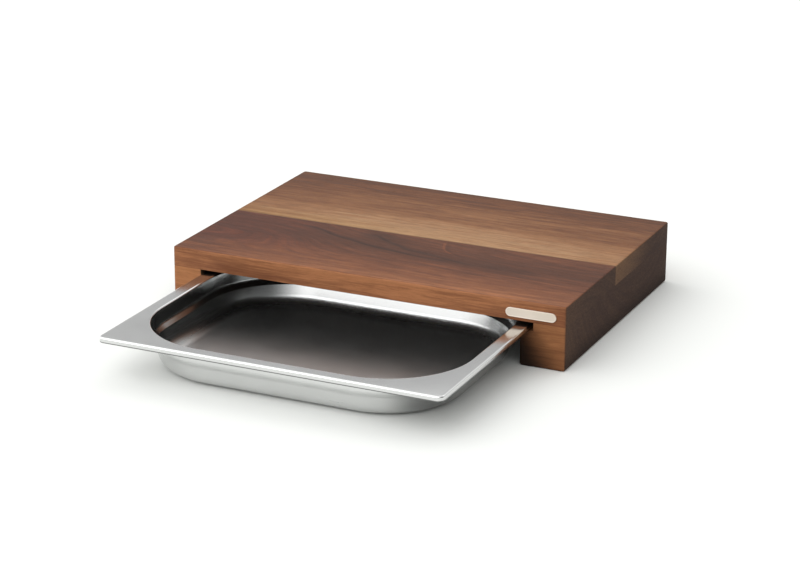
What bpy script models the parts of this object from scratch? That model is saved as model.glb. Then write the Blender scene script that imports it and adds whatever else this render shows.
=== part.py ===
"""Cutting board with a drawer: a two-plank walnut board on two grooved leg
blocks, with a shallow stainless gastronorm tray that hangs by its rim in the
grooves and slides out towards the user.

Metres, +Z up.  The work is laid out in the board's own coordinates, in
millimetres: x from the board's left end, y back from its front face, z up from
the table.  Everything is then placed so that the origin is the middle of the
whole object's footprint with the tray pulled out, on the table.
"""
import math

import bmesh
import bpy
from mathutils import Vector

# ------------------------------------------------------------------ dimensions
MM = 0.001
GAP = 0.3                 # clearance left between faces that touch

BOARD_W = 390.0           # along x
BOARD_D = 270.0           # along y
BOARD_H = 60.0            # along z, cutting face above the table
SLAB_UNDER = 41.35        # glue line between the slab and the leg blocks
GLUE_LINE_Y = 124.0       # glue line between the two planks of the slab
EASE = 1.8                # radius of the eased outer edges

LEG_W = 43.0              # width of a leg block
LEG_JOINT_Y = 146.0       # glue line between the two staves of a leg block
GROOVE_WALL_LEFT = 28.8   # board end to the side wall of the groove
GROOVE_WALL_RIGHT = 30.5
GROOVE_FLOOR = 33.6       # height of the groove's floor
GROOVE_STOP_Y = 266.0     # the grooves stop short of the back face

TRAY_W = 325.0            # gastronorm 1/2 rim, along x
TRAY_D = 265.0            # gastronorm 1/2 rim, along y
TRAY_CX = 193.7           # the tray lies a little to the left in its grooves
TRAY_PULL = 188.5         # how far the drawer is pulled out, front to front
SHEET = 0.8               # sheet thickness
RIM_TOP = 38.8            # top of the flat rim
RIM_UNDER = 33.9          # lower edge of the turned-down rim
RIM_CORNER = 6.5          # plan radius of the rim's outer corners
RIM_BEND = 1.6            # outer bend, rim to turned-down edge
RIM_FLAT_END = 11.3       # outer edge to the start of the bowl's bend
BOWL_CORNER = 80.0        # plan radius of the bowl's corners at the rim
BOWL_BEND = 1.6           # bend from the rim into the wall
STEP_TOP = 24.6           # stacking shoulder, upper and lower height
STEP_LOW = 19.9
STEP_OUT = 0.5            # how far the upper wall leans in by the shoulder
STEP_IN = 3.5             # how far the shoulder steps in
WALL_LEAN = 16.0          # lean of the lower wall, in degrees
BASE_RADIUS = 14.0        # bend from wall to base, inside
BASE_TOP = 1.1            # height of the base's upper face

PLATE_L = 47.5            # blank name plate
PLATE_H = 8.3
PLATE_T = 0.7
PLATE_CX = 357.25
PLATE_CZ = 48.7

CORNER_SEGS = 8           # facets round each plan corner
SIDE_SEGS = 3             # facets along each straight side

# middle of the footprint with the tray out, in board coordinates
ORIGIN_X = BOARD_W / 2.0
ORIGIN_Y = (BOARD_D - TRAY_PULL) / 2.0


def place(x, y, z):
    """Board coordinates in millimetres to world coordinates in metres."""
    return Vector(((x - ORIGIN_X) * MM, (y - ORIGIN_Y) * MM, z * MM))


# -------------------------------------------------------------------- the scene
for old in list(bpy.data.objects):
    bpy.data.objects.remove(old, do_unlink=True)

scene = bpy.context.scene
parts = bpy.data.collections.new("cutting_board_with_drawer")
cutters = bpy.data.collections.new("cutters")
scene.collection.children.link(parts)
scene.collection.children.link(cutters)


def material(name, colour, roughness, metallic):
    mat = bpy.data.materials.new(name)
    mat.use_nodes = True
    shader = mat.node_tree.nodes["Principled BSDF"]
    shader.inputs["Base Color"].default_value = (*colour, 1.0)
    shader.inputs["Roughness"].default_value = roughness
    shader.inputs["Metallic"].default_value = metallic
    mat.diffuse_color = (*colour, 1.0)
    return mat


WALNUT_FRONT = material("walnut_front_plank", (0.15, 0.06, 0.03), 0.6, 0.0)
WALNUT_BACK = material("walnut_back_plank", (0.20, 0.10, 0.05), 0.6, 0.0)
WALNUT_LEG = material("walnut_leg_blocks", (0.215, 0.086, 0.032), 0.6, 0.0)
STEEL = material("stainless_tray", (0.70, 0.70, 0.695), 0.2, 1.0)
PLATE_METAL = material("name_plate_metal", (0.82, 0.74, 0.65), 0.4, 1.0)


def link(obj, collection, mat=None):
    for user in list(obj.users_collection):
        user.objects.unlink(obj)
    collection.objects.link(obj)
    if mat is not None:
        obj.data.materials.clear()
        obj.data.materials.append(mat)
    return obj


def block(name, low, high, collection, mat=None):
    """A box between two corners in board millimetres, from the cube primitive."""
    a, b = place(*low), place(*high)
    bpy.ops.mesh.primitive_cube_add(size=1.0, location=(a + b) / 2.0)
    obj = bpy.context.active_object
    obj.name = name
    obj.data.name = name
    size = b - a
    for v in obj.data.vertices:
        v.co = Vector((v.co.x * size.x, v.co.y * size.y, v.co.z * size.z))
    return link(obj, collection, mat)


def ease_edges(obj, pairs, radius, segments=3):
    """Round the edges that lie on both planes of any pair.

    A plane is (axis, board millimetres), such as ("z", 60.0)."""
    index = {"x": 0, "y": 1, "z": 2}
    mesh = obj.data
    bm = bmesh.new()
    bm.from_mesh(mesh)
    origin = obj.location

    def on(co, plane):
        axis, value = plane
        ref = place(*(value if k == index[axis] else 0.0 for k in range(3)))
        return abs((co + origin)[index[axis]] - ref[index[axis]]) < 1e-6

    chosen = [e for e in bm.edges
              if any(all(on(v.co, p) for v in e.verts for p in pair)
                     for pair in pairs)]
    bmesh.ops.bevel(bm, geom=chosen, offset=radius * MM, offset_type="OFFSET",
                    segments=segments, profile=0.5, affect="EDGES",
                    clamp_overlap=True)
    bm.to_mesh(mesh)
    bm.free()


def cut(obj, cutter):
    """Take a cutter's volume away with a Boolean."""
    cutter.hide_render = True
    cutter.display_type = "WIRE"
    mod = obj.modifiers.new("cut_" + cutter.name, "BOOLEAN")
    mod.operation = "DIFFERENCE"
    mod.solver = "EXACT"
    mod.object = cutter
    mod.show_render = True
    mod.show_viewport = True


# ------------------------------------------------------------------ the top slab
h = GAP / 2.0
top_front = block("top_plank_front",
                  (0.0, 0.0, SLAB_UNDER + h),
                  (BOARD_W, GLUE_LINE_Y - h, BOARD_H), parts, WALNUT_FRONT)
ease_edges(top_front,
           [(("x", 0.0), ("y", 0.0)), (("x", BOARD_W), ("y", 0.0)),
            (("z", BOARD_H), ("y", 0.0)),
            (("z", BOARD_H), ("x", 0.0)), (("z", BOARD_H), ("x", BOARD_W))],
           EASE)

top_back = block("top_plank_back",
                 (0.0, GLUE_LINE_Y + h, SLAB_UNDER + h),
                 (BOARD_W, BOARD_D, BOARD_H), parts, WALNUT_BACK)
ease_edges(top_back,
           [(("x", 0.0), ("y", BOARD_D)), (("x", BOARD_W), ("y", BOARD_D)),
            (("z", BOARD_H), ("y", BOARD_D)),
            (("z", BOARD_H), ("x", 0.0)), (("z", BOARD_H), ("x", BOARD_W))],
           EASE)

# ---------------------------------------------------------------- the leg blocks
# Each block is two staves glued edge to edge.  A groove in the upper inner edge
# carries the tray's rim; it is open at the front and stops short of the back.


def leg_stave(name, left, y0, y1, front):
    outer = 0.0 if left else BOARD_W
    inner = LEG_W if left else BOARD_W - LEG_W
    low_x, high_x = min(outer, inner), max(outer, inner)
    obj = block(name, (low_x, y0, 0.0), (high_x, y1, SLAB_UNDER - h),
                parts, WALNUT_LEG)
    end = ("y", 0.0 if front else BOARD_D)
    ease_edges(obj,
               [(("x", outer), end), (("x", inner), end),
                (("z", 0.0), end), (("z", 0.0), ("x", outer)),
                (("z", 0.0), ("x", inner))],
               EASE)
    wall = GROOVE_WALL_LEFT if left else BOARD_W - GROOVE_WALL_RIGHT
    past = inner + (20.0 if left else -20.0)
    groove_end = y1 + 20.0 if front else GROOVE_STOP_Y
    cutter = block("groove_" + name,
                   (min(wall, past), y0 - 20.0, GROOVE_FLOOR),
                   (max(wall, past), groove_end, SLAB_UNDER + 20.0), cutters)
    cut(obj, cutter)
    return obj


leg_stave("leg_left_front_stave", True, 0.0, LEG_JOINT_Y - h, True)
leg_stave("leg_left_rear_stave", True, LEG_JOINT_Y + h, BOARD_D, False)
leg_stave("leg_right_front_stave", False, 0.0, LEG_JOINT_Y - h, True)
leg_stave("leg_right_rear_stave", False, LEG_JOINT_Y + h, BOARD_D, False)

# ------------------------------------------------------------- blank name plate
# A stadium-shaped metal plate on the slab's front face, near the right end.


def stadium(length, height, segments=12):
    r = height / 2.0
    run = length / 2.0 - r
    pts = []
    for side in (1, -1):
        for k in range(segments + 1):
            a = side * math.pi / 2.0 - math.pi * k / segments
            pts.append((side * run + r * math.cos(a), r * math.sin(a)))
    return pts


outline = bpy.data.curves.new("name_plate", "CURVE")
outline.dimensions = "2D"
outline.fill_mode = "BOTH"
spline = outline.splines.new("POLY")
plate_points = stadium(PLATE_L, PLATE_H)
spline.points.add(len(plate_points) - 1)
for point, (px, pz) in zip(spline.points, plate_points):
    point.co = (px * MM, pz * MM, 0.0, 1.0)
spline.use_cyclic_u = True
outline.extrude = PLATE_T * MM / 2.0
outline.materials.append(PLATE_METAL)
plate = bpy.data.objects.new("name_plate", outline)
parts.objects.link(plate)
plate.rotation_euler = (math.pi / 2.0, 0.0, 0.0)
plate.location = place(PLATE_CX, -GAP - PLATE_T / 2.0, PLATE_CZ)

# --------------------------------------------------------------------- the tray


def rounded_ring(inset, radius, z):
    """Points round a rounded rectangle, anticlockwise seen from above.

    inset is measured in from the rim's outer edge."""
    hx, hy = TRAY_W / 2.0 - inset, TRAY_D / 2.0 - inset
    radius = max(radius, 0.4)
    corners = [(hx - radius, hy - radius, 0.0), (-hx + radius, hy - radius, 90.0),
               (-hx + radius, -hy + radius, 180.0), (hx - radius, -hy + radius, 270.0)]
    arcs = []
    for cx, cy, start in corners:
        arc = []
        for k in range(CORNER_SEGS + 1):
            a = math.radians(start + 90.0 * k / CORNER_SEGS)
            arc.append((cx + radius * math.cos(a), cy + radius * math.sin(a), z))
        arcs.append(arc)
    ring = []
    for k, arc in enumerate(arcs):
        ring.extend(arc)
        end, nxt = arc[-1], arcs[(k + 1) % 4][0]
        for j in range(1, SIDE_SEGS):
            t = j / SIDE_SEGS
            ring.append((end[0] + (nxt[0] - end[0]) * t,
                         end[1] + (nxt[1] - end[1]) * t, z))
    return ring


def arc_steps(x0, z0, radius, a0, a1, segments):
    """(inset, z) points on an arc about (x0, z0), angles in degrees."""
    return [(x0 + radius * math.cos(math.radians(a0 + (a1 - a0) * k / segments)),
             z0 + radius * math.sin(math.radians(a0 + (a1 - a0) * k / segments)))
            for k in range(segments + 1)]


profile = [(0.0, RIM_UNDER)]
profile += arc_steps(RIM_BEND, RIM_TOP - RIM_BEND, RIM_BEND, 180.0, 90.0, 4)
rim_count = len(profile)
profile += arc_steps(RIM_FLAT_END, RIM_TOP - BOWL_BEND, BOWL_BEND, 90.0, 0.0, 3)
wall_in = RIM_FLAT_END + BOWL_BEND
step_out = wall_in + STEP_OUT
step_in = step_out + STEP_IN
profile += [(step_out - 0.07, STEP_TOP + 1.86), (step_out + 0.35, STEP_TOP + 0.12),
            (step_out + 1.11, STEP_TOP - 1.49), (step_in, STEP_LOW)]
lean = math.radians(WALL_LEAN)
bend_z = BASE_TOP + BASE_RADIUS * (1.0 - math.sin(lean))
bend_in = step_in + (STEP_LOW - bend_z) * math.tan(lean)
profile += arc_steps(bend_in + BASE_RADIUS * math.cos(lean), BASE_TOP + BASE_RADIUS,
                     BASE_RADIUS, 180.0 + WALL_LEAN, 270.0, 5)

rings = []
for k, (inset, z) in enumerate(profile):
    if k < rim_count:
        radius = RIM_CORNER - inset
    else:
        radius = BOWL_CORNER - (inset - RIM_FLAT_END)
    rings.append(rounded_ring(inset, radius, z))

bm = bmesh.new()
loops = [[bm.verts.new(Vector(p) * MM) for p in ring] for ring in rings]
count = len(loops[0])
for a, b in zip(loops, loops[1:]):
    for k in range(count):
        j = (k + 1) % count
        bm.faces.new((a[k], a[j], b[j], b[k]))
bm.faces.new(loops[-1])
bmesh.ops.recalc_face_normals(bm, faces=bm.faces)
base = max(bm.faces, key=lambda f: len(f.verts))
if base.normal.z < 0.0:
    bmesh.ops.reverse_faces(bm, faces=bm.faces)
tray_mesh = bpy.data.meshes.new("tray")
bm.to_mesh(tray_mesh)
bm.free()
tray_mesh.materials.append(STEEL)
tray = bpy.data.objects.new("tray", tray_mesh)
parts.objects.link(tray)
# the tray's own origin is the middle of its rim, on the line it slides along
tray.location = place(TRAY_CX, TRAY_D / 2.0 - TRAY_PULL, 0.0)
sheet = tray.modifiers.new("sheet_thickness", "SOLIDIFY")
sheet.thickness = SHEET * MM
sheet.offset = -1.0
sheet.use_even_offset = True
sheet.use_rim = True

for obj in parts.objects:
    if obj.type == "MESH":
        obj.data.shade_smooth()
        obj.data.set_sharp_from_angle(angle=math.radians(35.0))
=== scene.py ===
"""Walnut cutting board with a shallow steel tray as its drawer: the looks.

The visual pieces are laid out in the board's own millimetres: x from the
board's left end, y back from its front face, z up from the table.  The wood's
grain runs along x in every plank and stave.
"""
import math

import bmesh
import bpy
from mathutils import Matrix, Vector

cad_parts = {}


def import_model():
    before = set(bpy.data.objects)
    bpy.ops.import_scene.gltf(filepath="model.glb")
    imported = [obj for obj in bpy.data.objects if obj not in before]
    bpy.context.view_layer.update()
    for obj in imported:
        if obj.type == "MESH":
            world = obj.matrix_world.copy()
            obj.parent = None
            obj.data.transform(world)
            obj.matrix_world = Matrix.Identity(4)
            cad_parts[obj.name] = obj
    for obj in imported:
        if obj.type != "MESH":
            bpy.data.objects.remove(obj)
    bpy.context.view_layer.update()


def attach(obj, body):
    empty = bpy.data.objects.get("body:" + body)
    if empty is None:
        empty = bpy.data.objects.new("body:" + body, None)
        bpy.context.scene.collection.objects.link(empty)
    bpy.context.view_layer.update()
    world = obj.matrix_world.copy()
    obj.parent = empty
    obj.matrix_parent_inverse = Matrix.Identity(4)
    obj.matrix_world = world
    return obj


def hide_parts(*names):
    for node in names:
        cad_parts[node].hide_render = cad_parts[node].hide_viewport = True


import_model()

MM = 0.001
ORIGIN_X = 195.0
ORIGIN_Y = 40.75

BOARD_W, BOARD_D, BOARD_H = 390.0, 270.0, 60.0
SLAB_UNDER = 41.35
GLUE_Y = 124.0
LEG_W = 43.0
LEG_JOINT_Y = 146.0
GROOVE_LEFT, GROOVE_RIGHT = 28.8, 30.5
GROOVE_FLOOR = 33.6
GROOVE_STOP = 266.0


def world(p):
    return Vector(((p[0] - ORIGIN_X) * MM, (p[1] - ORIGIN_Y) * MM, p[2] * MM))


# ------------------------------------------------------------------ mesh helpers
def finish_mesh(name, bm, angle=35.0):
    bmesh.ops.remove_doubles(bm, verts=bm.verts, dist=2e-6)
    bmesh.ops.dissolve_degenerate(bm, edges=bm.edges, dist=1e-6)
    bmesh.ops.recalc_face_normals(bm, faces=bm.faces)
    mesh = bpy.data.meshes.new(name)
    bm.to_mesh(mesh)
    bm.free()
    mesh.shade_smooth()
    mesh.set_sharp_from_angle(angle=math.radians(angle))
    obj = bpy.data.objects.new(name, mesh)
    bpy.context.scene.collection.objects.link(obj)
    return obj


def loft(name, rings, first_cap=True, last_cap=True, angle=35.0):
    """A closed skin over rings of equal count, given in board millimetres."""
    bm = bmesh.new()
    loops = [[bm.verts.new(world(p)) for p in ring] for ring in rings]
    n = len(loops[0])
    for a, b in zip(loops, loops[1:]):
        for k in range(n):
            j = (k + 1) % n
            bm.faces.new((a[k], a[j], b[j], b[k]))
    if first_cap:
        bm.faces.new(list(reversed(loops[0])))
    if last_cap:
        bm.faces.new(loops[-1])
    return finish_mesh(name, bm, angle)


def arc_points(cx, cy, r, a0, a1, n):
    """(x, y, normal x, normal y) along an arc, angles in degrees."""
    out = []
    for k in range(n + 1):
        a = math.radians(a0 + (a1 - a0) * k / n)
        out.append((cx + r * math.cos(a), cy + r * math.sin(a), math.cos(a), math.sin(a)))
    return out


# ------------------------------------------------------------------ slab planks
CORNER = 2.4       # plan radius of the board's upright corners
TOP_EASE = 1.3     # radius along the top edges
ARRIS = 0.4        # radius under the slab's front edge, over the channel


def plank(name, depth, back):
    """One plank of the slab: a free long edge at y 0, a glued one at depth."""
    pts = [(*p, 0.0) for p in arc_points(CORNER, CORNER, CORNER, 180.0, 270.0, 8)]
    lo, hi = (LEG_W, BOARD_W - LEG_W) if back else (GROOVE_LEFT, BOARD_W - GROOVE_RIGHT)
    stops = [15.0, lo, lo + 1.2] + [lo + 1.2 + (hi - lo - 2.4) * k / 10 for k in range(1, 10)]
    stops += [hi - 1.2, hi, BOARD_W - 15.0]
    for x in stops:
        pts.append((x, 0.0, 0.0, -1.0, ARRIS if lo + 1.0 < x < hi - 1.0 else 0.0))
    pts += [(*p, 0.0) for p in arc_points(BOARD_W - CORNER, CORNER, CORNER, 270.0, 360.0, 8)]
    for t in (0.35, 0.7, 1.0):
        pts.append((BOARD_W, CORNER + (depth - CORNER) * t, 1.0, 0.0, 0.0))
    for t in (0.75, 0.5, 0.25):
        pts.append((BOARD_W * t, depth, 0.0, 0.0, 0.0))
    for t in (1.0, 0.7, 0.35):
        pts.append((0.0, CORNER + (depth - CORNER) * t, -1.0, 0.0, 0.0))

    rings = []

    def ring(z_of, inset_of):
        out = []
        for x, y, nx, ny, r in pts:
            d = inset_of(r)
            px, py = x - nx * d, y - ny * d
            out.append((px, BOARD_D - py if back else py, z_of(r)))
        if back:
            out.reverse()
        rings.append(out)

    ring(lambda r: SLAB_UNDER, lambda r: r + 0.7)
    for k in range(6):
        a = math.radians(90.0 * k / 5)
        ring(lambda r: SLAB_UNDER + r * (1.0 - math.cos(a)), lambda r: r * (1.0 - math.sin(a)))
    ring(lambda r: SLAB_UNDER + 1.5, lambda r: 0.0)
    ring(lambda r: BOARD_H - TOP_EASE - 0.8, lambda r: 0.0)
    for k in range(8):
        a = math.radians(90.0 * k / 7)
        ring(lambda r: BOARD_H - TOP_EASE * (1.0 - math.sin(a)),
             lambda r: TOP_EASE * (1.0 - math.cos(a)))
    ring(lambda r: BOARD_H, lambda r: TOP_EASE + 0.8)
    return loft(name, rings)


# ------------------------------------------------------------------- leg staves
def stave(name, left, y0, y1, front):
    """A stave of a leg block, as sections along y; u runs in from the outer side."""
    wall = GROOVE_LEFT if left else GROOVE_RIGHT
    pts, full = [], []

    def add(u, z, nu, nz, r, fu=None, fz=None, fn=None):
        pts.append((u, z, nu, nz, r))
        full.append((u if fu is None else fu, z if fz is None else fz, *(fn or (nu, nz)), r))

    # upright outer side and the rounded lower outer edge
    add(0.0, SLAB_UNDER, -1.0, 0.0, CORNER)
    add(0.0, 28.0, -1.0, 0.0, CORNER)
    add(0.0, 14.0, -1.0, 0.0, CORNER)
    for u, z, nu, nz in arc_points(2.7, 2.7, 2.7, 180.0, 270.0, 7):
        add(u, z, nu, nz, 2.2)
    add(16.0, 0.0, 0.0, -1.0, 2.2)
    add(30.0, 0.0, 0.0, -1.0, 2.0)
    # lower inner edge and the inner side up to the groove's lip
    for u, z, nu, nz in arc_points(LEG_W - 2.3, 2.3, 2.3, 270.0, 360.0, 7):
        add(u, z, nu, nz, 1.9)
    add(LEG_W, 14.0, 1.0, 0.0, 1.7)
    add(LEG_W, 24.0, 1.0, 0.0, 1.2)
    lip = 0.6
    for k, (u, z, nu, nz) in enumerate(arc_points(LEG_W - lip, GROOVE_FLOOR - lip, lip, 0.0, 90.0, 5)):
        add(u, z, nu, nz, 0.5, LEG_W, GROOVE_FLOOR - lip + lip * k / 5, (1.0, 0.0))
    # the groove's floor and side wall
    span = LEG_W - wall
    add(LEG_W - span * 0.35, GROOVE_FLOOR, 0.0, 1.0, 0.5, LEG_W, GROOVE_FLOOR + 2.5, (1.0, 0.0))
    add(LEG_W - span * 0.7, GROOVE_FLOOR, 0.0, 1.0, 0.5, LEG_W, GROOVE_FLOOR + 5.0, (1.0, 0.0))
    for k, a in enumerate((270.0, 240.0, 210.0, 180.0)):
        c, s = math.cos(math.radians(a)), math.sin(math.radians(a))
        add(wall + 0.5 + 0.5 * c, GROOVE_FLOOR + 0.5 + 0.5 * s, -c, -s, 0.5,
            LEG_W - 0.7 * k, SLAB_UNDER, (1.0, 0.0) if k == 0 else (0.0, 0.0))
    add(wall, GROOVE_FLOOR + 3.5, 1.0, 0.0, 0.5, wall + 6.0, SLAB_UNDER, (0.0, 0.0))
    add(wall, SLAB_UNDER, 1.0, 0.0, 0.5, wall, SLAB_UNDER, (0.0, 0.0))
    add(wall * 0.6, SLAB_UNDER, 0.0, 0.0, 0.0)
    add(CORNER + 0.7, SLAB_UNDER, 0.0, 0.0, 0.0)

    rings = []

    def section(source, y_of, inset_of):
        out = []
        for u, z, nu, nz, r in source:
            d = inset_of(r)
            pu, pz = u - nu * d, z - nz * d
            out.append((pu if left else BOARD_W - pu, y_of(r), pz))
        rings.append(out)

    steps = 6
    if front:
        section(pts, lambda r: 0.0, lambda r: r * 1.15)
        for k in range(steps + 1):
            a = math.radians(90.0 * k / steps)
            section(pts, lambda r: r * (1.0 - math.cos(a)), lambda r: r * (1.0 - math.sin(a)))
        section(pts, lambda r: 4.0, lambda r: 0.0)
        section(pts, lambda r: y1, lambda r: 0.0)
    else:
        section(pts, lambda r: y0, lambda r: 0.0)
        section(pts, lambda r: GROOVE_STOP - 1.0, lambda r: 0.0)
        section(pts, lambda r: GROOVE_STOP, lambda r: 0.0)
        section(full, lambda r: GROOVE_STOP, lambda r: 0.0)
        for k in range(steps + 1):
            a = math.radians(90.0 * k / steps)
            section(full, lambda r: BOARD_D - r * (1.0 - math.sin(a)), lambda r: r * (1.0 - math.cos(a)))
        section(full, lambda r: BOARD_D, lambda r: r * 1.15)
    return loft(name, rings)


# --------------------------------------------------------------------- the tray
TRAY_W, TRAY_D = 325.0, 265.0
TRAY_CX, TRAY_PULL = 193.7, 188.5
SHEET = 0.8
CORNER_STEPS = 28
RIM_BEND = 1.6          # bend from the flat rim into its turned-down edge
BASE_TOP = 1.1          # the base's upper face
BASE_BEND = 14.0        # radius between the lower wall and the base
WALL_LEAN = 16.0        # lean of the lower wall, in degrees


def rounded_ring(inset, radius, z):
    """Points round a rounded rectangle centred on the tray."""
    hx, hy = TRAY_W / 2.0 - inset, TRAY_D / 2.0 - inset
    radius = max(radius, 0.25)
    cy0 = TRAY_D / 2.0 - TRAY_PULL
    corners = [(hx - radius, hy - radius, 0.0), (-hx + radius, hy - radius, 90.0),
               (-hx + radius, -hy + radius, 180.0), (hx - radius, -hy + radius, 270.0)]
    arcs = []
    for cx, cy, start in corners:
        arcs.append([(TRAY_CX + cx + radius * math.cos(math.radians(start + 90.0 * k / CORNER_STEPS)),
                      cy0 + cy + radius * math.sin(math.radians(start + 90.0 * k / CORNER_STEPS)), z)
                     for k in range(CORNER_STEPS + 1)])
    ring = []
    for k, arc in enumerate(arcs):
        ring.extend(arc)
        end, nxt = arc[-1], arcs[(k + 1) % 4][0]
        for j in (1, 2, 3, 4, 5):
            t = j / 6.0
            ring.append((end[0] + (nxt[0] - end[0]) * t, end[1] + (nxt[1] - end[1]) * t, z))
    return ring


def fine_arc(x0, z0, r, a0, a1, n):
    """(inset, z, normal inset, normal z) with the normal out of the arc's centre."""
    out = []
    for k in range(n + 1):
        a = math.radians(a0 + (a1 - a0) * k / n)
        out.append((x0 + r * math.cos(a), z0 + r * math.sin(a), math.cos(a), math.sin(a)))
    return out


def tray_profile():
    """The sheet's upper face from the turned-down edge to the base.

    Each point is (inset, z, normal inset, normal z); the normal points to the
    side seen from above, and the sheet's thickness goes the other way."""
    line = [(0.0, 33.9 + 0.4, -1.0, 0.0), (0.0, 35.2, -1.0, 0.0)]
    line += fine_arc(RIM_BEND, 38.8 - RIM_BEND, RIM_BEND, 180.0, 90.0, 12)
    line += [(3.2, 38.8, 0.0, 1.0), (6.5, 38.8, 0.0, 1.0), (10.6, 38.8, 0.0, 1.0)]
    line += fine_arc(11.3, 37.2, 1.6, 90.0, 0.0, 9)
    # upper wall, the stacking shoulder's two bends and the lower wall
    lean = math.radians(WALL_LEAN)
    bend_z = BASE_TOP + BASE_BEND * (1.0 - math.sin(lean))
    bend_in = 16.9 + (19.9 - bend_z) * math.tan(lean)
    path = [(12.9, 37.2), (13.4, 24.6), (16.9, 19.9), (bend_in, bend_z)]
    bends = {1: 6.0, 2: 1.0}
    smooth = []
    for k in (1, 2):
        p0, p1, p2 = (Vector((*path[i],)) for i in (k - 1, k, k + 1))
        a, b = (p0 - p1).normalized(), (p2 - p1).normalized()
        half = a.angle(b) / 2.0
        cut = bends[k] / math.tan(half)
        s, e = p1 + a * cut, p1 + b * cut
        centre = p1 + (a + b).normalized() * (bends[k] / math.sin(half))
        v0, v1 = s - centre, e - centre
        turn = v0.angle_signed(v1)
        for i in range(7):
            w = v0.copy()
            w.rotate(Matrix.Rotation(-turn * i / 6, 2))
            smooth.append((centre + w, w.normalized()))
    for p, w in smooth[:7]:
        line.append((p.x, p.y, w.x, w.y))
    for p, w in smooth[7:]:
        line.append((p.x, p.y, w.x, w.y))
    # every normal on the walls must look into the bowl
    fixed = []
    for d, z, nd, nz in line:
        if d > 12.95 and nd < 0.0:
            nd, nz = -nd, -nz
        fixed.append((d, z, nd, nz))
    line = fixed
    for d, z, nd, nz in fine_arc(bend_in + BASE_BEND * math.cos(lean), BASE_TOP + BASE_BEND, BASE_BEND,
                                 180.0 + WALL_LEAN, 270.0, 40):
        line.append((d, z, -nd, -nz))
    return line


def tray_mesh(name):
    line = tray_profile()

    def radius_at(d, nd, t):
        if d < 3.1:
            return 6.5 - d - t * nd
        return 80.0 - (d - 11.3) - t * nd

    rings = []
    base = [(36.0, BASE_TOP), (48.0, BASE_TOP + 0.04), (64.0, BASE_TOP + 0.12),
            (84.0, BASE_TOP + 0.20), (104.0, BASE_TOP + 0.25)]
    # inside of the base out to the wall, over the rim and down the outer edge
    for d, z in reversed(base):
        rings.append(rounded_ring(d, 80.0 - (d - 11.3), z))
    for d, z, nd, nz in reversed(line):
        r = radius_at(d, nd, 0.0) if d >= 3.1 or d < 2.6 else 6.5 - d
        rings.append(rounded_ring(d, r, z))
    # rounded lower edge of the sheet
    for k in range(1, 6):
        a = math.radians(180.0 + 180.0 * k / 6)
        d = SHEET / 2.0 + SHEET / 2.0 * math.cos(a)
        rings.append(rounded_ring(d, 6.5 - d, 33.9 + 0.4 + SHEET / 2.0 * math.sin(a)))
    # underside
    for d, z, nd, nz in line:
        dd, zz = d - SHEET * nd, z - SHEET * nz
        if d < 2.6:
            r = 6.5 - dd
        elif d < 3.3:
            r = 6.5 - d
        else:
            r = 80.0 - (dd - 11.3)
        rings.append(rounded_ring(dd, r, zz))
    for d, z in base:
        rings.append(rounded_ring(d, 80.0 - (d - 11.3), z - SHEET))
    return loft(name, rings, angle=60.0)


# ------------------------------------------------------------------- name plate
PLATE = (357.25, 48.7, 47.5, 8.3)


def name_plate(name):
    cx, cz, length, height = PLATE

    def ring(inset, y):
        r = height / 2.0 - inset
        run = length / 2.0 - height / 2.0
        out = []
        for side in (1, -1):
            for k in range(25):
                a = side * math.pi / 2.0 - math.pi * k / 24
                out.append((cx + side * run + r * math.cos(a), y, cz + r * math.sin(a)))
        return out

    rings = [ring(0.0, 0.0), ring(0.0, -0.35), ring(0.0, -0.68)]
    for k in range(1, 6):
        a = math.radians(90.0 * k / 5)
        rings.append(ring(0.32 * (1.0 - math.cos(a)), -0.68 - 0.32 * math.sin(a)))
    rings += [ring(0.45, -1.0), ring(0.62, -1.0), ring(0.74, -0.965), ring(0.84, -0.90),
              ring(0.96, -0.875), ring(1.10, -0.87), ring(1.5, -0.87)]
    return loft(name, rings, angle=40.0)


# ---------------------------------------------------------------- build the pieces
plank_front = plank("walnut_top_plank_front", GLUE_Y, False)
plank_back = plank("walnut_top_plank_back", BOARD_D - GLUE_Y, True)
staves = {
    "leg_left_front_stave": stave("walnut_leg_left_front", True, 0.0, LEG_JOINT_Y, True),
    "leg_left_rear_stave": stave("walnut_leg_left_rear", True, LEG_JOINT_Y, BOARD_D, False),
    "leg_right_front_stave": stave("walnut_leg_right_front", False, 0.0, LEG_JOINT_Y, True),
    "leg_right_rear_stave": stave("walnut_leg_right_rear", False, LEG_JOINT_Y, BOARD_D, False),
}
tray = tray_mesh("steel_tray_sheet")
plate = name_plate("blank_plate")


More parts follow.
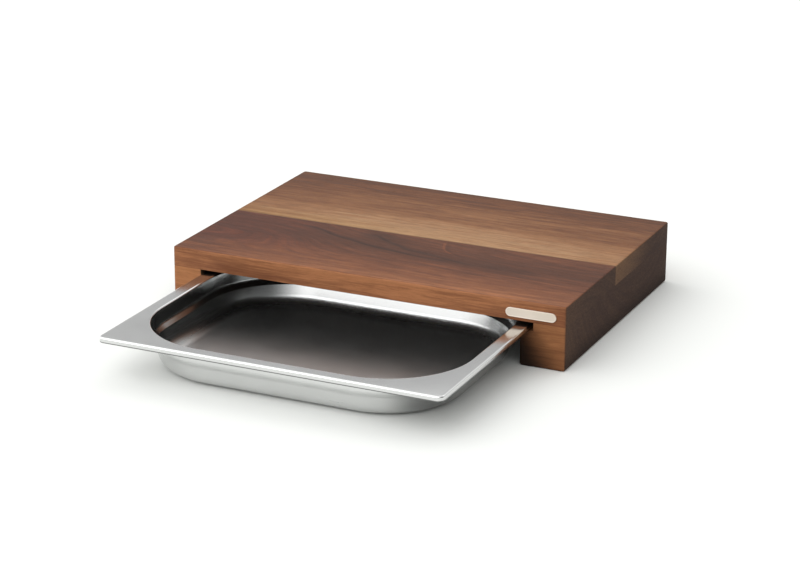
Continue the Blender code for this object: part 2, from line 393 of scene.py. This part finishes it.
# ------------------------------------------------------------- node graph helper
class Graph:
    """Builds one node material; sockets and plain numbers mix freely."""

    def __init__(self, name):
        self.mat = bpy.data.materials.new(name)
        self.mat.use_nodes = True
        self.tree = self.mat.node_tree
        self.shader = self.tree.nodes["Principled BSDF"]

    def put(self, socket, value):
        if isinstance(value, bpy.types.NodeSocket):
            self.tree.links.new(value, socket)
        elif value is not None:
            socket.default_value = value

    def node(self, kind, **settings):
        n = self.tree.nodes.new(kind)
        for key, value in settings.items():
            setattr(n, key, value)
        return n

    def math(self, op, a, b=None, c=None, clamp=False):
        n = self.node("ShaderNodeMath", operation=op, use_clamp=clamp)
        for k, v in enumerate((a, b, c)):
            if v is not None:
                self.put(n.inputs[k], v)
        return n.outputs[0]

    def add(self, a, b):
        return self.math("ADD", a, b)

    def sub(self, a, b):
        return self.math("SUBTRACT", a, b)

    def mul(self, a, b):
        return self.math("MULTIPLY", a, b)

    def ramp(self, x, a, b, c=0.0, d=1.0, kind="SMOOTHSTEP"):
        """x from a..b to c..d, held at the ends."""
        n = self.node("ShaderNodeMapRange", interpolation_type=kind, clamp=True)
        for k, v in enumerate((x, a, b, c, d)):
            self.put(n.inputs[k], v)
        return n.outputs[0]

    def vec(self, x, y, z):
        n = self.node("ShaderNodeCombineXYZ")
        for k, v in enumerate((x, y, z)):
            self.put(n.inputs[k], v)
        return n.outputs[0]

    def split(self, v):
        n = self.node("ShaderNodeSeparateXYZ")
        self.put(n.inputs[0], v)
        return n.outputs

    def noise(self, v, scale=1.0, detail=2.0, rough=0.5, lac=2.0, distort=0.0):
        n = self.node("ShaderNodeTexNoise", noise_dimensions="3D")
        self.put(n.inputs["Vector"], v)
        n.inputs["Scale"].default_value = scale
        n.inputs["Detail"].default_value = detail
        n.inputs["Roughness"].default_value = rough
        n.inputs["Lacunarity"].default_value = lac
        n.inputs["Distortion"].default_value = distort
        return n.outputs[0]

    def mix(self, fac, a, b, blend="MIX"):
        n = self.node("ShaderNodeMix", data_type="RGBA", blend_type=blend, clamp_factor=True)
        self.put(n.inputs[0], fac)
        self.put(n.inputs[6], (*a, 1.0) if isinstance(a, tuple) else a)
        self.put(n.inputs[7], (*b, 1.0) if isinstance(b, tuple) else b)
        return n.outputs[2]

    def scale_colour(self, colour, amount):
        n = self.node("ShaderNodeVectorMath", operation="SCALE")
        self.put(n.inputs[0], colour)
        self.put(n.inputs["Scale"], amount)
        return n.outputs[0]

    def curve(self, x, points):
        """A smooth curve through given points; both axes 0..1."""
        n = self.node("ShaderNodeFloatCurve")
        c = n.mapping.curves[0]
        c.points[0].location = points[0]
        c.points[1].location = points[-1]
        for p in points[1:-1]:
            c.points.new(*p)
        n.mapping.update()
        self.put(n.inputs["Value"], x)
        return n.outputs[0]

    def palette(self, x, stops):
        """A colour ramp through given tones."""
        n = self.node("ShaderNodeValToRGB")
        ramp = n.color_ramp
        ramp.elements[0].position, ramp.elements[1].position = stops[0][0], stops[-1][0]
        ramp.elements[0].color = (*stops[0][1], 1.0)
        ramp.elements[1].color = (*stops[-1][1], 1.0)
        for at, tone in stops[1:-1]:
            ramp.elements.new(at).color = (*tone, 1.0)
        self.put(n.inputs[0], x)
        return n.outputs[0]

    def board_mm(self):
        """x, y, z in board millimetres."""
        co = self.node("ShaderNodeTexCoord").outputs["Object"]
        n = self.node("ShaderNodeVectorMath", operation="MULTIPLY_ADD")
        self.put(n.inputs[0], co)
        n.inputs[1].default_value = (1000.0, 1000.0, 1000.0)
        n.inputs[2].default_value = (ORIGIN_X, ORIGIN_Y, 0.0)
        return n.outputs[0]


# ------------------------------------------------------------------------ walnut
# tones of oiled walnut, dark to light, in linear light
HEARTWOOD = [(0.0, (0.0619, 0.0188, 0.0067)), (0.25, (0.0938, 0.0288, 0.0109)), (0.5, (0.1407, 0.0463, 0.0173)),
             (0.75, (0.1876, 0.0670, 0.0249)), (1.0, (0.2720, 0.1022, 0.0384))]
SAPWOOD = [(0.0, (0.0742, 0.0245, 0.0084)), (0.25, (0.1154, 0.0397, 0.0127)), (0.5, (0.1725, 0.0702, 0.0254)),
           (0.75, (0.2257, 0.1034, 0.0422)), (1.0, (0.2909, 0.1588, 0.0763))]
LEGWOOD = [(0.0, (0.1331, 0.0476, 0.0167)), (0.5, (0.2601, 0.1023, 0.0381)), (1.0, (0.3630, 0.1547, 0.0619))]
END_DARK, END_LIGHT = (0.0450, 0.0254, 0.0200), (0.1560, 0.0860, 0.0465)


def walnut(name, kind):
    g = Graph(name)
    p = g.board_mm()
    x, y, z = g.split(p)
    xn = g.mul(x, 1 / BOARD_W)
    drop = g.sub(BOARD_H, z)

    # slow wander of the grain, a few millimetres over the board's length
    wander = g.sub(g.noise(g.vec(g.mul(x, 1 / 150.0), g.mul(y, 1 / 55.0), g.mul(z, 1 / 45.0)), 1.0, 1.0, 0.4), 0.5)
    ripple = g.sub(g.noise(g.vec(g.mul(x, 1 / 34.0), g.mul(y, 1 / 15.0), g.mul(z, 1 / 15.0)), 1.0, 2.0, 0.5), 0.5)
    bend = g.add(g.mul(wander, 12.0), g.mul(ripple, 3.0))

    if kind == "front":
        # the figure sweeps down from the glue line to the right
        sweep = g.mul(g.curve(xn, [
            (0.0, 1.0), (0.218, 0.887), (0.321, 0.75), (0.449, 0.627),
            (0.577, 0.565), (0.641, 0.55), (0.756, 0.484), (1.0, 0.42)]), 124.0)
        reach = g.ramp(y, 18.0, 78.0)
        v = g.sub(g.add(y, bend), g.mul(reach, g.sub(sweep, 66.0)))
        v = g.sub(v, g.mul(drop, 0.8))
    elif kind == "back":
        v = g.add(g.add(y, bend), g.mul(drop, 0.5))
    else:
        v = g.add(g.add(z, g.mul(y, 0.30)), bend)

    def streaks(long, wide, seed, detail=2.0, rough=0.55):
        q = g.vec(g.add(g.mul(x, 1.0 / long), seed), g.mul(v, 1.0 / wide), g.mul(z, 0.6 / wide))
        return g.sub(g.noise(q, 1.0, detail, rough), 0.5)

    broad = streaks(190.0, 13.0, 3.1, 2.0)
    medium = streaks(80.0, 4.6, 11.7, 2.0)
    fine = streaks(46.0, 1.7, 27.3, 3.0, 0.6)
    hair = streaks(24.0, 0.5, 41.9, 2.0, 0.6)
    fibre = streaks(9.0, 0.16, 57.1, 1.0)
    mottle = g.sub(g.noise(g.vec(g.mul(x, 1 / 26.0), g.mul(y, 1 / 11.0), g.mul(z, 1 / 11.0)), 1.0, 3.0, 0.6), 0.5)
    vein = g.ramp(g.math("ABSOLUTE", streaks(150.0, 9.0, 77.7, 1.0)), 0.0, 0.035, 1.0, 0.0)
    flow = g.add(g.add(g.mul(broad, 0.42), g.mul(medium, 0.92)), g.add(g.mul(fine, 0.80), g.mul(hair, 0.34)))
    flow = g.add(flow, g.sub(g.mul(mottle, 0.34), g.mul(vein, 0.07)))

    nrm = g.split(g.node("ShaderNodeNewGeometry").outputs["True Normal"])
    end = g.ramp(g.math("ABSOLUTE", nrm[0]), 0.50, 0.92)
    if kind == "leg_left":
        end = g.ramp(nrm[0], -0.50, -0.92)
    elif kind == "leg_right":
        end = g.ramp(nrm[0], 0.50, 0.92)
    upright = g.ramp(g.math("ABSOLUTE", nrm[1]), 0.35, 0.95)

    if kind == "front":
        across = g.math("MAXIMUM", g.add(y, g.add(g.mul(wander, 7.0), g.mul(ripple, 3.0))), 0.0)
        tone = g.curve(g.mul(across, 1 / 124.0), [
            (0.0, 0.80), (0.13, 0.69), (0.26, 0.49), (0.39, 0.35), (0.50, 0.22),
            (0.63, 0.03), (0.74, 0.02), (0.87, 0.09), (1.0, 0.19)])
        tone = g.mul(tone, g.ramp(x, 0.0, 190.0, 0.56, 1.0))
        tone = g.add(tone, g.mul(g.mul(g.ramp(x, 160.0, 235.0), g.ramp(y, 80.0, 98.0)), g.ramp(x, 300.0, 380.0, 0.12, 0.05)))
        # the face towards the user shows its grain lighter, most so in the middle
        face = g.curve(xn, [(0.0, 0.70), (0.14, 0.77), (0.30, 0.87), (0.45, 1.0), (0.60, 0.99), (0.75, 0.89), (1.0, 0.62)])
        face = g.sub(face, g.mul(g.ramp(drop, 2.0, 18.0, -0.05, 0.18, "LINEAR"), g.ramp(x, 30.0, 200.0, 0.1, 1.0)))
        tone = g.add(g.mul(tone, g.sub(1.0, upright)), g.mul(face, upright))
        tone = g.add(tone, g.mul(flow, g.add(0.82, g.mul(upright, 0.20))))
        # a darker streak low on the front at the left, a pale fleck line near the top
        dark = g.mul(g.ramp(x, 10.0, 60.0), g.ramp(x, 95.0, 150.0, 1.0, 0.0))
        dark = g.mul(dark, g.mul(g.ramp(drop, 6.0, 11.0), g.ramp(drop, 14.0, 18.0, 1.0, 0.0)))
        tone = g.sub(tone, g.mul(g.mul(dark, upright), 0.16))
        colour = g.palette(tone, HEARTWOOD)
        colour = g.mix(upright, colour, (1.15, 1.24, 1.36), "MULTIPLY")
        # redder towards the left end
        red = g.mul(g.ramp(x, 10.0, 170.0, 1.0, 0.0), g.ramp(y, 20.0, 60.0))
        colour = g.mix(red, colour, (1.0, 0.86, 0.98), "MULTIPLY")
        end_tone = 0.13
    elif kind == "back":
        across = g.add(y, g.add(g.mul(wander, 8.0), g.mul(ripple, 2.0)))
        tone = g.curve(g.mul(g.sub(across, GLUE_Y), 1 / (BOARD_D - GLUE_Y)), [
            (0.0, 1.0), (0.11, 1.0), (0.25, 0.90), (0.35, 0.72), (0.40, 0.54),
            (0.58, 0.46), (0.80, 0.24), (1.0, 0.08)])
        ends = g.curve(xn, [(0.0, 0.62), (0.10, 0.80), (0.22, 0.92), (0.42, 1.0), (0.55, 1.0), (0.8, 0.90), (1.0, 0.76)])
        tone = g.add(g.mul(tone, ends), g.mul(flow, 0.78))
        colour = g.palette(tone, SAPWOOD)
        olive = g.mul(g.ramp(y, 124.0, 158.0, 1.0, 0.0), g.ramp(x, 0.0, 260.0, 0.9, 0.1))
        colour = g.mix(olive, colour, (0.97, 1.03, 0.86), "MULTIPLY")
        end_tone = g.ramp(y, 124.0, 236.0, 0.84, 0.15)
        end_tone = g.sub(end_tone, g.ramp(drop, 2.0, 18.6, 0.0, 0.16, "LINEAR"))
    else:
        cloud = g.sub(g.noise(g.vec(g.mul(x, 1 / 30.0), g.mul(y, 1 / 60.0), g.mul(z, 1 / 12.0)), 1.0, 2.0, 0.5), 0.5)
        tone = g.add(0.56 if kind == "leg_left" else 0.48, g.add(g.mul(flow, 0.74), g.mul(cloud, 0.5)))
        # lighter up the leg, darker towards its foot: in part painted shade near the table
        tone = g.add(tone, g.ramp(z, 0.0, 41.0, -0.14, 0.12, "LINEAR"))
        colour = g.palette(tone, LEGWOOD)
        if kind == "leg_right":
            # darker than the left one, and a painted shadow of the tray on its front at the foot beside the channel
            tray_shadow_slant = g.add(x, g.mul(g.sub(z, 20.0), 0.55))
            depth = g.mul(g.ramp(tray_shadow_slant, 344.0, 384.0, 0.97, 0.0), g.ramp(y, 12.0, 70.0, 1.0, 0.0))
            colour = g.scale_colour(colour, g.mul(g.sub(1.05, depth), 0.76))
        end_tone = 0.07

    # growth rings as arcs on the end grain, each piece cut at its own place in the tree
    pith_y, pith_z, pitch = {"front": (35.0, -75.0, 4.2), "back": (215.0, 175.0, 5.0),
                             "leg_left": (60.0, 120.0, 4.6)}.get(kind, (190.0, 125.0, 4.6))
    dy, dz = g.sub(y, pith_y), g.sub(z, pith_z)
    ring_v = g.add(g.math("SQRT", g.add(g.mul(dy, dy), g.mul(dz, dz))), g.mul(wander, 8.0))
    ring = g.sub(g.noise(g.vec(g.mul(ring_v, 1.0 / pitch), g.mul(y, 0.006), 4.7), 1.0, 3.0, 0.62), 0.5)
    rays = g.sub(g.noise(g.vec(g.mul(y, 1 / 2.6), g.mul(z, 1 / 1.2), 9.2), 1.0, 2.0, 0.6), 0.5)
    end_tone = g.add(end_tone, g.add(g.mul(ring, 0.40), g.mul(rays, 0.85)))
    end_tone = g.add(end_tone, g.ramp(y, 4.0, 60.0, 0.13, 0.0))

    # pores: short dark dashes along the grain, dots on end grain
    pq = g.vec(g.mul(x, 1 / 4.0), g.mul(g.add(y, g.mul(bend, 0.6)), 1 / 0.36), g.mul(z, 1 / 0.36))
    pore = g.ramp(g.noise(pq, 1.0, 1.0, 0.5), 0.62, 0.74)
    shade = g.sub(1.0, g.mul(pore, 0.20))
    flat_dash = g.noise(g.vec(g.mul(x, 1 / 13.0), g.mul(g.add(y, g.mul(bend, 0.8)), 1 / 2.3), 12.7), 1.0, 2.0, 0.6)
    face_dash = g.noise(g.vec(g.mul(x, 1 / 11.0), g.mul(g.add(z, g.mul(bend, 0.4)), 1 / 0.9), 15.1), 1.0, 2.0, 0.6)
    dash = g.add(g.mul(g.sub(flat_dash, 0.5), g.sub(1.0, upright)), g.mul(g.sub(face_dash, 0.5), g.mul(upright, 0.7)))
    shade = g.mul(shade, g.add(1.0, g.mul(dash, 0.74)))

    if kind == "front":
        # two dark figure lines that run together to the right, and a dark pool there
        def line(points, above, below, strength, x0, x1):
            path = g.mul(g.curve(xn, points), 124.0)
            off = g.sub(g.add(y, g.mul(ripple, 5.0)), path)
            m = g.mul(g.ramp(off, 0.2, above, 1.0, 0.0), g.ramp(off, -below, -0.2))
            m = g.mul(m, g.mul(g.ramp(x, x0 - 10.0, x0 + 12.0), g.ramp(x, x1, x1 + 40.0, 1.0, 0.0)))
            return g.mul(m, g.mul(strength, g.ramp(z, 44.0, 58.0)))

        one = line([(0.0, 1.0), (0.218, 0.887), (0.321, 0.75), (0.449, 0.627),
                    (0.577, 0.565), (0.641, 0.55), (0.756, 0.484), (1.0, 0.42)],
                   5.6, 2.2, 0.48, 84.0, 236.0)
        two = line([(0.0, 1.0), (0.397, 0.887), (0.436, 0.806), (0.474, 0.746),
                    (0.513, 0.685), (0.577, 0.645), (0.641, 0.585), (0.756, 0.50), (1.0, 0.42)],
                   6.2, 2.2, 0.41, 150.0, 252.0)
        pool = g.mul(g.mul(g.ramp(x, 255.0, 290.0), g.ramp(x, 315.0, 352.0, 1.0, 0.0)),
                     g.mul(g.ramp(g.add(y, g.mul(ripple, 8.0)), 54.0, 63.0), g.ramp(g.add(y, g.mul(ripple, 8.0)), 72.0, 86.0, 1.0, 0.0)))
        shade = g.mul(shade, g.sub(1.0, one))
        shade = g.mul(shade, g.sub(1.0, two))
        shade = g.mul(shade, g.sub(1.0, g.mul(pool, 0.20)))

        # a small pale arc that drops from the glue line, with a dark rim beside it
        on_top = g.ramp(z, 50.0, 59.0)
        arc_x = g.mul(g.curve(g.mul(y, 1 / 124.0), [
            (0.0, 0.72), (0.60, 0.68), (0.702, 0.636), (0.742, 0.615), (0.782, 0.597),
            (0.839, 0.585), (0.903, 0.577), (1.0, 0.574)]), BOARD_W)
        off = g.sub(g.add(x, g.mul(ripple, 4.0)), arc_x)
        span = g.mul(g.ramp(y, 84.0, 92.0), g.ramp(y, 114.0, 121.0, 1.0, 0.0))
        pale = g.mul(g.mul(g.ramp(off, -2.2, -0.3), g.ramp(off, 0.3, 1.6, 1.0, 0.0)), g.mul(span, on_top))
        rim = g.mul(g.mul(g.ramp(off, 0.8, 2.6), g.ramp(off, 3.2, 9.0, 1.0, 0.0)), g.mul(span, on_top))
        shade = g.mul(shade, g.add(1.0, g.sub(g.mul(pale, 0.46), g.mul(rim, 0.24))))
        # pale flecks lying along the grain near the right end
        fleck = g.noise(g.vec(g.mul(x, 1 / 42.0), g.mul(g.add(y, g.mul(ripple, 5.0)), 1 / 2.1), 6.3), 1.0, 1.0, 0.5)
        where = g.mul(g.ramp(x, 310.0, 345.0), g.mul(g.ramp(y, 74.0, 86.0), g.ramp(y, 100.0, 110.0, 1.0, 0.0)))
        shade = g.mul(shade, g.add(1.0, g.mul(g.mul(g.ramp(fleck, 0.53, 0.66), where), g.mul(on_top, 0.34))))
        # a dark blotch where the second line starts
        blot = g.mul(g.mul(g.ramp(x, 138.0, 156.0), g.ramp(x, 168.0, 196.0, 1.0, 0.0)),
                     g.mul(g.ramp(g.add(y, g.mul(ripple, 8.0)), 92.0, 102.0), g.ramp(g.add(y, g.mul(ripple, 8.0)), 112.0, 122.0, 1.0, 0.0)))
        shade = g.mul(shade, g.sub(1.0, g.mul(g.mul(blot, on_top), 0.15)))

    if kind == "back":
        # a thin dark glue line
        shade = g.mul(shade, g.mul(g.ramp(y, 124.6, 126.2, 0.62, 1.0), g.ramp(y, 126.0, 146.0, 1.08, 1.0)))
    colour = g.scale_colour(colour, shade)
    if kind in ("front", "back"):
        # painted shade: the slab's underside is darkened over the channel
        underside_shade = g.ramp(nrm[2], -0.85, -0.45, 1.0, 0.0)
        colour = g.mix(underside_shade, colour, (0.11, 0.15, 0.20), "MULTIPLY")
    else:
        # painted shade: the block's inner side and the groove are darkened too
        inner_side_shade = g.ramp(nrm[0], 0.5, 0.9) if kind == "leg_left" else g.ramp(nrm[0], -0.9, -0.5, 1.0, 0.0)
        colour = g.mix(inner_side_shade, colour, (0.20, 0.26, 0.34), "MULTIPLY")
    # end grain drinks oil and goes dark and dull
    # the end grain is also darker towards the table: painted shade
    end_pores_and_shade = g.mul(g.sub(1.0, g.mul(pore, 0.30)), g.ramp(z, 1.0, 20.0, 0.60, 1.03))
    colour = g.mix(end, colour, g.scale_colour(g.palette(end_tone, [(0.0, END_DARK), (1.0, END_LIGHT)]), end_pores_and_shade))
    g.put(g.shader.inputs["Base Color"], colour)
    g.put(g.shader.inputs["Roughness"], g.add(g.add(0.60, g.mul(end, 0.34)), g.add(g.mul(fine, 0.16), g.mul(pore, 0.12))))
    g.shader.inputs["Specular IOR Level"].default_value = 0.20

    bump = g.node("ShaderNodeBump")
    bump.inputs["Strength"].default_value = 0.5
    bump.inputs["Distance"].default_value = 0.00012
    height = g.sub(g.add(g.mul(hair, 0.7), g.mul(fibre, 0.35)), g.mul(pore, 0.8))
    g.put(bump.inputs["Height"], height)
    g.put(g.shader.inputs["Normal"], bump.outputs[0])
    return g.mat


# ------------------------------------------------------------------------- metal
def steel(name):
    g = Graph(name)
    p = g.board_mm()
    x, y, z = g.split(p)
    g.shader.inputs["Metallic"].default_value = 1.0
    smudge = g.noise(p, 1 / 45.0, 3.0, 0.55)
    tint = g.mix(smudge, (0.67, 0.675, 0.67), (0.73, 0.735, 0.73))
    # painted shade: the steel darkens towards the base and its bend
    tint = g.scale_colour(tint, g.ramp(z, 1.5, 7.0, 0.80, 1.0))
    # painted shade darkens the left wall inside and the right wall outside
    facing = g.split(g.node("ShaderNodeNewGeometry").outputs["Normal"])[0]
    below = g.ramp(z, 33.0, 37.2, 1.0, 0.0)
    left_wall_shade = g.mul(g.mul(g.ramp(facing, 0.08, 0.55), below), g.ramp(x, 80.0, 150.0, 1.0, 0.0))
    right_wall_shade = g.mul(g.mul(g.ramp(facing, 0.30, 0.75), below), g.ramp(x, 250.0, 310.0))
    tint = g.mix(left_wall_shade, tint, (0.52, 0.53, 0.53), "MULTIPLY")
    tint = g.mix(right_wall_shade, tint, (0.52, 0.52, 0.52), "MULTIPLY")
    # a painted shade line along the foot of the turned-down rim
    off_x = g.math("ABSOLUTE", g.sub(x, TRAY_CX))
    off_y = g.math("ABSOLUTE", g.sub(y, TRAY_D / 2.0 - TRAY_PULL))
    lip = g.math("MAXIMUM", g.ramp(off_x, TRAY_W / 2.0 - 5.0, TRAY_W / 2.0 - 3.0),
                 g.ramp(off_y, TRAY_D / 2.0 - 5.0, TRAY_D / 2.0 - 3.0))
    lip = g.mul(lip, g.ramp(z, 34.5, 35.3, 1.0, 0.0))
    tint = g.scale_colour(tint, g.sub(1.0, g.mul(lip, 0.72)))
    g.put(g.shader.inputs["Base Color"], tint)
    scratch_a = g.noise(g.vec(g.mul(x, 1 / 40.0), g.mul(y, 1 / 0.5), g.mul(z, 1 / 0.5)), 1.0, 2.0, 0.6)
    scratch_b = g.noise(g.vec(g.mul(x, 1 / 0.7), g.mul(y, 1 / 26.0), g.mul(z, 1 / 2.0)), 1.0, 2.0, 0.6)
    worn = g.add(g.mul(g.sub(scratch_a, 0.5), 0.06), g.mul(g.sub(scratch_b, 0.5), 0.05))
    # the bowl is duller than the rim, and its base the dullest
    inside = g.add(g.ramp(z, 37.0, 38.6, 0.18, 0.15), g.ramp(z, 10.0, 20.0, 0.07, 0.0))
    inside = g.add(inside, g.ramp(z, 1.6, 5.0, 0.05, 0.0))
    g.put(g.shader.inputs["Roughness"], g.add(g.add(inside, g.mul(g.sub(smudge, 0.5), 0.06)), worn))
    wave = g.noise(p, 1 / 55.0, 1.0, 0.4)
    bump = g.node("ShaderNodeBump")
    bump.inputs["Strength"].default_value = 0.35
    bump.inputs["Distance"].default_value = 0.0004
    g.put(bump.inputs["Height"], g.add(wave, g.mul(scratch_a, 0.004)))
    g.put(g.shader.inputs["Normal"], bump.outputs[0])
    return g.mat


def plate_metal(name):
    g = Graph(name)
    p = g.board_mm()
    x, y, z = g.split(p)
    g.shader.inputs["Metallic"].default_value = 0.2
    brushed = g.noise(g.vec(g.mul(x, 1 / 14.0), 0.0, g.mul(z, 1 / 0.12)), 1.0, 3.0, 0.6)
    g.put(g.shader.inputs["Base Color"], g.scale_colour(g.mix(brushed, (0.62, 0.54, 0.45), (0.70, 0.62, 0.53)),
                                                         g.ramp(y, -0.97, -0.89, 1.10, 0.93)))
    g.put(g.shader.inputs["Roughness"], g.ramp(brushed, 0.2, 0.8, 0.46, 0.56, "LINEAR"))
    bump = g.node("ShaderNodeBump")
    bump.inputs["Strength"].default_value = 0.3
    bump.inputs["Distance"].default_value = 0.00002
    g.put(bump.inputs["Height"], brushed)
    g.put(g.shader.inputs["Normal"], bump.outputs[0])
    return g.mat


def dress(obj, mat, body, slot, *nodes):
    obj.data.materials.clear()
    obj.data.materials.append(mat)
    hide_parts(*nodes)
    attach(obj, body)


front_wood = walnut("oiled_walnut_front_plank", "front")
back_wood = walnut("oiled_walnut_back_plank", "back")
left_wood = walnut("oiled_walnut_left_leg", "leg_left")
right_wood = walnut("oiled_walnut_right_leg", "leg_right")

dress(plank_front, front_wood, "board", "walnut_front_plank", "top_plank_front")
dress(plank_back, back_wood, "board", "walnut_back_plank", "top_plank_back")
for node, obj in staves.items():
    dress(obj, left_wood if "left" in node else right_wood, "board", "walnut_leg_blocks", node)
dress(tray, steel("satin_stainless"), "tray", "stainless_tray", "tray")
dress(plate, plate_metal("brushed_plate"), "board", "name_plate_metal", "name_plate")

# ------------------------------------------------------------------------- stage
floor_mesh = bpy.data.meshes.new("studio_floor")
fb = bmesh.new()
bmesh.ops.create_grid(fb, x_segments=2, y_segments=2, size=9.0)
fb.to_mesh(floor_mesh)
fb.free()
floor = bpy.data.objects.new("studio_floor", floor_mesh)
bpy.context.scene.collection.objects.link(floor)
paper = Graph("white_paper")
paper.shader.inputs["Base Color"].default_value = (0.752, 0.762, 0.742, 1.0)
paper.shader.inputs["Roughness"].default_value = 0.9
paper.shader.inputs["Specular IOR Level"].default_value = 0.0
floor_mesh.materials.append(paper.mat)

# ------------------------------------------------------------------------ lights
world_bg = bpy.context.scene.world or bpy.data.worlds.new("studio")
bpy.context.scene.world = world_bg
world_bg.use_nodes = True
wt = world_bg.node_tree
wt.nodes.clear()
w_out = wt.nodes.new("ShaderNodeOutputWorld")
w_bg = wt.nodes.new("ShaderNodeBackground")
w_bg.inputs["Color"].default_value = (1.0, 1.0, 1.0, 1.0)
wt.links.new(w_bg.outputs[0], w_out.inputs[0])
w_dir = wt.nodes.new("ShaderNodeTexCoord").outputs["Generated"]

# The studio is one soft tent of light.  Its brightness is given every 45 degrees
# round the board (0 is in front, 90 to the right) at four heights and overhead,
# and runs smoothly between them.
SKY_GAIN = 0.87
SKY = [
    (0.0, (0.15, 0.00, 0.00, 0.50, 1.81, 2.10, 1.91, 0.36)),
    (20.0, (2.57, 0.40, 0.23, 1.25, 0.38, 0.58, 2.56, 2.98)),
    (42.0, (3.86, 1.80, 0.20, 1.21, 2.05, 2.11, 3.02, 2.97)),
    (66.0, (2.41, 1.28, 0.62, 0.90, 1.52, 1.75, 1.42, 2.11)),
    (90.0, (0.94,) * 8),
]
SKY_TOP = 5.0


def sky_math(op, a, b=None, clamp=False):
    n = wt.nodes.new("ShaderNodeMath")
    n.operation = op
    n.use_clamp = clamp
    for k, v in enumerate((a, b)):
        if isinstance(v, bpy.types.NodeSocket):
            wt.links.new(v, n.inputs[k])
        elif v is not None:
            n.inputs[k].default_value = v
    return n.outputs[0]


def sky_fade(x, a, b):
    """0 at a to 1 at b, straight between and held outside."""
    return sky_math("MULTIPLY", sky_math("SUBTRACT", x, a), 1.0 / (b - a), clamp=True)


w_split = wt.nodes.new("ShaderNodeSeparateXYZ")
wt.links.new(w_dir, w_split.inputs[0])
away = sky_math("ARCTAN2", w_split.outputs[0], sky_math("MULTIPLY", w_split.outputs[1], -1.0))
around = sky_math("FRACT", sky_math("ADD", sky_math("MULTIPLY", away, 0.5 / math.pi), 1.0))
height_deg = sky_math("MULTIPLY", sky_math("ARCSINE", w_split.outputs[2]), 180.0 / math.pi)
total = None
for k, (at, values) in enumerate(SKY):
    below = SKY[k - 1][0] if k else -20.0
    weight = sky_fade(height_deg, below, at)
    if k + 1 < len(SKY):
        weight = sky_math("MULTIPLY", weight, sky_fade(height_deg, SKY[k + 1][0], at))
    band = wt.nodes.new("ShaderNodeValToRGB")
    band.color_ramp.interpolation = "LINEAR"
    stops = list(values) + [values[0]]
    first, final = band.color_ramp.elements[0], band.color_ramp.elements[1]
    first.position, final.position = 0.0, 1.0
    first.color = final.color = (*(stops[0] / SKY_TOP,) * 3, 1.0)
    for j in range(1, 8):
        band.color_ramp.elements.new(j / 8.0).color = (*(stops[j] / SKY_TOP,) * 3, 1.0)
    wt.links.new(around, band.inputs[0])
    part = sky_math("MULTIPLY", band.outputs[0], weight)
    total = part if total is None else sky_math("ADD", total, part)
wt.links.new(sky_math("MULTIPLY", total, SKY_TOP * SKY_GAIN), w_bg.inputs["Strength"])

bpy.context.scene.view_settings.view_transform = "Standard"

# ------------------------------------------------------------------------ camera
AZ, EL, ROLL = (math.radians(v) for v in (24.637616, 19.451696, 0.347799))
back_dir = Vector((math.sin(AZ) * math.cos(EL), -math.cos(AZ) * math.cos(EL), math.sin(EL)))
forward = -back_dir
right = forward.cross(Vector((0.0, 0.0, 1.0))).normalized()
down = forward.cross(right)
cr, sr = math.cos(ROLL), math.sin(ROLL)
cam_x = right * cr - down * sr
cam_down = right * sr + down * cr
camera_data = bpy.data.cameras.new("photo_camera")
camera_data.lens = 112.907
camera_data.sensor_width = 36.0
camera = bpy.data.objects.new("photo_camera", camera_data)
bpy.context.scene.collection.objects.link(camera)
frame_matrix = Matrix.Identity(4)
for col, axis in enumerate((cam_x, -cam_down, -forward)):
    for row in range(3):
        frame_matrix[row][col] = axis[row]
for row, value in enumerate((0.9154047, -1.9571193, 0.7945392)):
    frame_matrix[row][3] = value
camera.matrix_world = frame_matrix
bpy.context.scene.camera = camera
